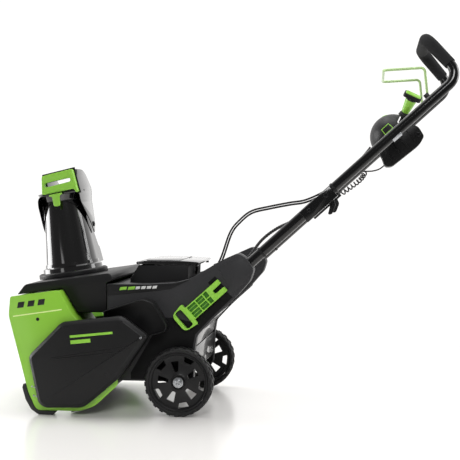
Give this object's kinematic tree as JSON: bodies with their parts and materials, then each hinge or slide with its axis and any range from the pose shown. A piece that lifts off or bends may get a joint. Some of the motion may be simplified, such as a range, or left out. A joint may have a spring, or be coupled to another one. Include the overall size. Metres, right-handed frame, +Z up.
{
  "type": "snow blower",
  "caption": "Cordless single-stage snow blower with a paddle auger, turning chute with tilting deflector, two wheels, battery bay and a folding handle with bail and chute stick.",
  "frame": {"origin": "on the ground under the middle of the box round the machine", "axes": "+X towards the operator, along the machine; +Y to the machine's right; +Z up"},
  "size_m": [1.3164, 0.636, 1.1246],
  "materials": {
    "green_painted_steel": "gloss powder coat",
    "green_plastic": "moulded, satin",
    "green_rod": "powder coated",
    "satin_black_plastic": "moulded, fine texture",
    "gloss_black_plastic": "moulded, high gloss",
    "grey_plastic": "moulded, satin",
    "black_painted_steel": "semi-gloss powder coat",
    "zinc_steel": "zinc plated",
    "motor_casing": "die cast",
    "auger_rubber": "moulded rubber",
    "tyre_rubber": "moulded tread",
    "grip_foam": "closed cell foam",
    "cable_jacket": "PVC jacket"
  },
  "bodies": {
    "machine": {"auger_shell": "green_painted_steel", "side_plate_left": "green_painted_steel", "side_plate_right": "green_painted_steel", "skid_shoe_left": "satin_black_plastic", "skid_shoe_right": "satin_black_plastic", "scraper_bar": "satin_black_plastic", "belt_cover": "satin_black_plastic", "bearing_cover": "satin_black_plastic", "belt_housing": "satin_black_plastic", "upper_shroud": "satin_black_plastic", "chute_seat_ring": "satin_black_plastic", "body_tub": "satin_black_plastic", "rear_cover": "satin_black_plastic", "top_deck": "satin_black_plastic", "battery_bay": "satin_black_plastic", "fold_bracket_left": "satin_black_plastic", "fold_bracket_right": "satin_black_plastic", "side_frame_left": "grey_plastic", "side_frame_right": "grey_plastic", "battery_pack": "grey_plastic", "lower_tube_left": "black_painted_steel", "lower_tube_right": "black_painted_steel", "auger_bearing_left": "zinc_steel", "auger_bearing_right": "zinc_steel", "wheel_axle": "zinc_steel", "drive_motor": "motor_casing", "controller_box": "motor_casing", "drive_belt": "auger_rubber", "chute_cable_lower": "cable_jacket", "harness_conduit": "cable_jacket"},
    "auger": {"auger_shaft": "zinc_steel", "paddle_left": "auger_rubber", "paddle_centre": "auger_rubber", "paddle_right": "auger_rubber", "auger_pulley": "zinc_steel"},
    "motor_rotor": {"motor_pulley": "zinc_steel"},
    "idler": {"idler_pulley": "zinc_steel"},
    "wheel_left": {"wheel_rim_left": "satin_black_plastic", "wheel_tyre_left": "tyre_rubber"},
    "wheel_right": {"wheel_rim_right": "satin_black_plastic", "wheel_tyre_right": "tyre_rubber"},
    "chute": {"chute_lower": "gloss_black_plastic"},
    "deflector": {"chute_deflector": "gloss_black_plastic", "deflector_handle": "green_plastic"},
    "deflector_trigger": {"deflector_trigger": "green_plastic"},
    "battery_lid": {"battery_lid": "gloss_black_plastic"},
    "lid_latch": {"lid_latch": "satin_black_plastic"},
    "cleanout_tool": {"cleanout_tool": "green_plastic"},
    "handle": {"upper_handle": "black_painted_steel", "foam_grip": "grip_foam", "console_dome": "satin_black_plastic", "console_base": "satin_black_plastic", "console_bracket": "zinc_steel", "chute_cable_upper": "cable_jacket", "coiled_cord": "cable_jacket"},
    "bail": {"bail_rod": "green_rod"},
    "stick": {"control_stick": "green_plastic"},
    "start_button": {"start_button": "green_plastic"},
    "cam_lever_left": {"cam_lever_left": "satin_black_plastic"},
    "cam_lever_right": {"cam_lever_right": "satin_black_plastic"}
  },
  "joints": [
    {"name": "auger_spin", "type": "hinge", "parent": "machine", "child": "auger", "pos_m": [-0.5089, 0, 0.128], "axis": [0, 1, 0], "continuous": true},
    {"name": "motor_spin", "type": "hinge", "parent": "machine", "child": "motor_rotor", "pos_m": [-0.2909, 0, 0.24], "axis": [0, 1, 0], "continuous": true},
    {"name": "idler_spin", "type": "hinge", "parent": "machine", "child": "idler", "pos_m": [-0.35227, -0.3, 0.1478], "axis": [0, 1, 0], "continuous": true},
    {"name": "wheel_left_spin", "type": "hinge", "parent": "machine", "child": "wheel_left", "pos_m": [-0.1509, -0.259, 0.1015], "axis": [0, 1, 0], "continuous": true},
    {"name": "wheel_right_spin", "type": "hinge", "parent": "machine", "child": "wheel_right", "pos_m": [-0.1509, 0.259, 0.1015], "axis": [0, 1, 0], "continuous": true},
    {"name": "chute_turn", "type": "hinge", "parent": "machine", "child": "chute", "pos_m": [-0.5339, 0, 0.393], "axis": [-0.1392, 0, 0.9903], "range_deg": [0, 180]},
    {"name": "deflector_tilt", "type": "hinge", "parent": "chute", "child": "deflector", "pos_m": [-0.55547, 0.03, 0.54649], "axis": [-0.9903, 0, -0.1392], "range_deg": [0, 45]},
    {"name": "trigger_squeeze", "type": "hinge", "parent": "deflector", "child": "deflector_trigger", "pos_m": [-0.56442, -0.108, 0.65329], "axis": [-0.9903, 0, -0.1392], "range_deg": [0, 14], "stiffness_Nm_per_rad": 0.05},
    {"name": "battery_lid_hinge", "type": "hinge", "parent": "machine", "child": "battery_lid", "pos_m": [-0.3079, 0, 0.44], "axis": [0, -1, 0], "range_deg": [0, 85]},
    {"name": "lid_latch_hinge", "type": "hinge", "parent": "battery_lid", "child": "lid_latch", "pos_m": [-0.1339, 0, 0.4335], "axis": [0, -1, 0], "range_deg": [0, 20], "stiffness_Nm_per_rad": 0.05},
    {"name": "tool_pull", "type": "slide", "parent": "machine", "child": "cleanout_tool", "axis": [0, -1, 0], "range_m": [0, 0.06]},
    {"name": "handle_fold", "type": "hinge", "parent": "machine", "child": "handle", "pos_m": [0.2761, 0, 0.65], "axis": [0, -1, 0], "range_deg": [0, 130], "deforming": ["chute_cable_lower", "harness_conduit", "chute_cable_upper", "coiled_cord"]},
    {"name": "bail_squeeze", "type": "hinge", "parent": "handle", "child": "bail", "pos_m": [0.5691, 0, 0.933], "axis": [0, 1, 0], "range_deg": [0, 48], "stiffness_Nm_per_rad": 0.6, "springref_deg": -34.38},
    {"name": "stick_swing", "type": "hinge", "parent": "handle", "child": "stick", "pos_m": [0.4937, 0, 0.87064], "axis": [-0.9026, 0, 0.4305], "range_deg": [0, 56]},
    {"name": "start_press", "type": "slide", "parent": "handle", "child": "start_button", "axis": [0.3746, 0, -0.9272], "range_m": [0, 0.003], "stiffness_N_per_m": 400},
    {"name": "cam_left", "type": "hinge", "parent": "machine", "child": "cam_lever_left", "pos_m": [0.2761, -0.173, 0.65], "axis": [0.7431, 0, 0.6691], "range_deg": [0, 95]},
    {"name": "cam_right", "type": "hinge", "parent": "machine", "child": "cam_lever_right", "pos_m": [0.2761, 0.173, 0.65], "axis": [-0.7431, 0, -0.6691], "range_deg": [0, 95]}
  ],
  "couplings": [
    {"joint": "motor_spin", "follows": "auger_spin", "ratio": 2.6},
    {"joint": "idler_spin", "follows": "auger_spin", "ratio": -3.25},
    {"joint": "stick_swing", "follows": "chute_turn", "ratio": 0.31111}
  ]
}
